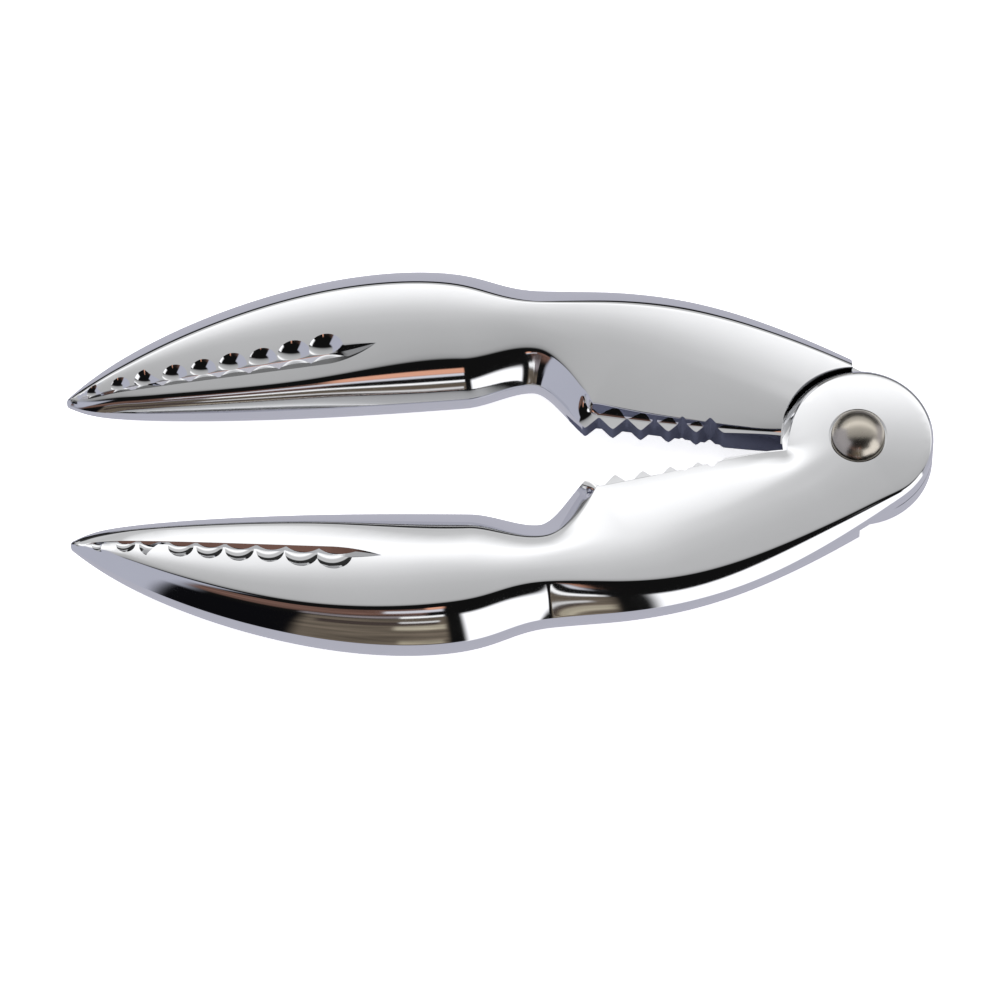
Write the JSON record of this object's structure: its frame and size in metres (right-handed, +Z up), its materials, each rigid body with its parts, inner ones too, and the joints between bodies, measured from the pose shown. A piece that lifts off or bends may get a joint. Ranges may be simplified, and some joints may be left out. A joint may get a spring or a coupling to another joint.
{
  "type": "lobster cracker",
  "caption": "Hand cracker for lobster and nuts: two claw-shaped cast arms with toothed jaws, half-lapped at a round ear and held by a domed rivet, lying flat and part open.",
  "frame": {"origin": "centre of the bounding box at its lowest plane, with the cracker lying flat and part open as at rest", "axes": "+X towards the hinge along the line between the arms, +Y towards the upper arm, +Z up out of the front faces"},
  "size_m": [0.184, 0.0872, 0.0233],
  "materials": {
    "chrome_plate": "mirror polished",
    "nickel_rivet": "polished"
  },
  "bodies": {
    "lower_claw": {"lower_arm": "chrome_plate", "pivot_rivet": "nickel_rivet"},
    "upper_claw": {"upper_arm": "chrome_plate"}
  },
  "joints": [
    {"name": "arm_pivot", "type": "hinge", "parent": "lower_claw", "child": "upper_claw", "pos_m": [0.07589, 0, 0.01167], "axis": [0, 0, -1], "range_deg": [-9.4, 150]}
  ]
}
